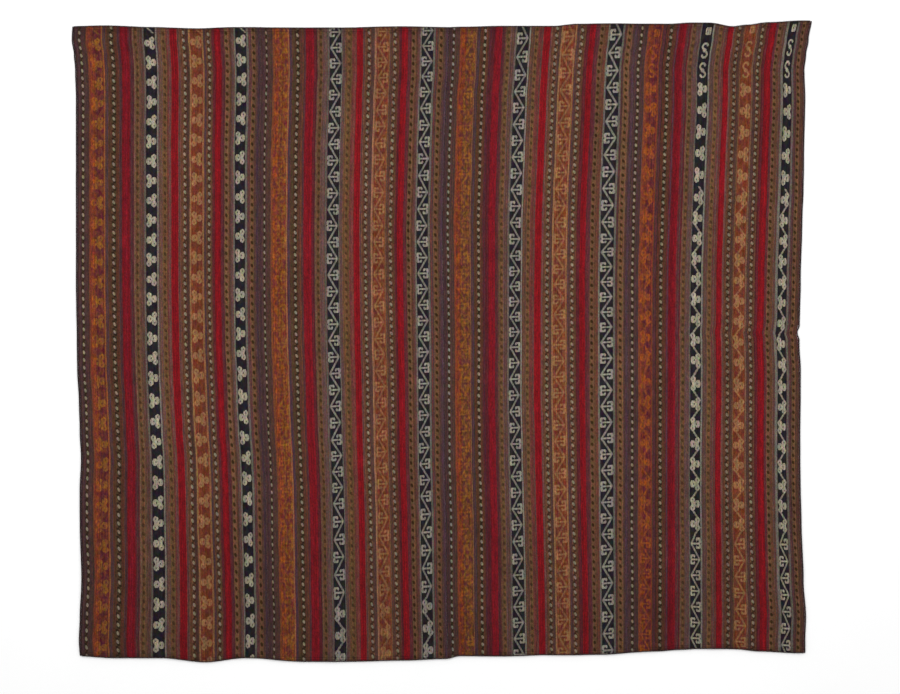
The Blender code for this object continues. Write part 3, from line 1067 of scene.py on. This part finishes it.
def hem_sewing_and_fold_shade(end, material):
    """The edge of one end, oversewn with dark yarn; the dark stitches also stand for painted shade along
    the fold of the hem.
    """
    spread = np.random.default_rng(7 if end == "top" else 8)
    first, last, apart = -874, 860, 1.9
    rough = np.arange(first, last, apart)
    rough = rough + spread.uniform(-0.3, 0.3, len(rough))
    edge = end_at(end, rough)
    places = np.array([LINE_PLACES[side] for side in SIDES])
    strays = np.stack([line_at(side, edge) for side in SIDES]) - places[:, None]
    across = rough + [np.interp(place, places, stray) for place, stray in zip(rough, strays.T)]
    sign = 1 if end == "top" else -1
    deep = spread.uniform(2.4, 4.0, len(across))
    high = top_of_cloth(across, edge) + HEM_THICK - CLOTH_THICK
    starts = placed(across, edge - sign * deep, high - 0.1)
    ends = placed(across + 1.2, edge + sign * 0.4, high - 1.4)
    return stitches("oversewn_and_fold_shade_" + end, starts, ends, 1.6 * MM, material)


def build_rug():
    """All the pieces of the rug, each riding on the one body; the strips and side cords stand in for
    their CAD nodes.
    """
    cloth_wool = striped_wool()
    cord_wool = dark_wool("dark overcast wool", "2b1d1d")
    sewing_wool = dark_wool("dark sewing wool", "38242a")
    sewn = [seam_sewing(number, sewing_wool) for number in (1, 2, 3)]
    # The dark oversewing of the ends is partly real yarn and partly painted shade along the fold of the
    # hem.
    sewn += [hem_sewing_and_fold_shade(end, cord_wool) for end in ("top", "bottom")]
    strips = []
    for strip, node in enumerate(STRIP_NAMES):
        piece = strip_of_cloth(strip, cloth_wool)
        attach(piece, "root")
        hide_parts(node)
        strips.append(piece)
    for side in ("left", "right"):
        piece = overcast_cord(side, cord_wool)
        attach(piece, "root")
        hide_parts("selvedge_" + side)
    for piece in sewn:
        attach(piece, "root")
    return strips


def build_studio():
    """A plain pale floor, plain soft light from above, and a camera straight over the rug."""
    floor_paint, tree, shader = new_material("matt white floor paint")
    grain = add(tree, "TexNoise", {"Scale": 30.0, "Detail": 4.0})
    tone = add(tree, "MapRange", [grain.outputs[0], 0.3, 0.7, 0.93, 0.95])
    tree.links.new(tone.outputs[0], shader.inputs["Base Color"])
    shader.inputs["Roughness"].default_value = 0.9
    shader.inputs["Specular IOR Level"].default_value = 0.2
    half = 8.0
    corners = np.array([(-half, -half, 0), (half, -half, 0), (half, half, 0), (-half, half, 0)])
    floor = mesh_from("floor", corners, np.array([[0, 1, 2, 3]]), floor_paint)
    floor.location.z = -0.0002

    world = bpy.data.worlds.new("studio")
    world.use_nodes = True
    world.node_tree.nodes["Background"].inputs["Color"].default_value = (1, 1, 1, 1)
    world.node_tree.nodes["Background"].inputs["Strength"].default_value = 0.72
    bpy.context.scene.world = world
    for name, place, size, power in (
        ("soft box above", (-0.9, 1.5, 3.2), 2.6, 62),
        ("soft box beside", (1.8, 0.9, 2.4), 2.0, 16),
    ):
        light = bpy.data.lights.new(name, "AREA")
        light.size = size
        light.energy = power
        lamp = bpy.data.objects.new(name, light)
        lamp.location = place
        lamp.rotation_mode = "QUATERNION"
        lamp.rotation_quaternion = (-lamp.location).to_track_quat("-Z", "Y")
        bpy.context.scene.collection.objects.link(lamp)

    camera_data = bpy.data.cameras.new("camera")
    camera_data.sensor_width = 36
    camera_data.lens = LENS_MM
    camera = bpy.data.objects.new("camera", camera_data)
    across, up = VIEW_MIDDLE
    camera.location = (*placed(across, up, 0)[:2], CAMERA_HEIGHT)
    bpy.context.scene.collection.objects.link(camera)
    bpy.context.scene.camera = camera
    bpy.context.scene.view_settings.view_transform = "Standard"
    return floor


strips = build_rug()
floor = build_studio()
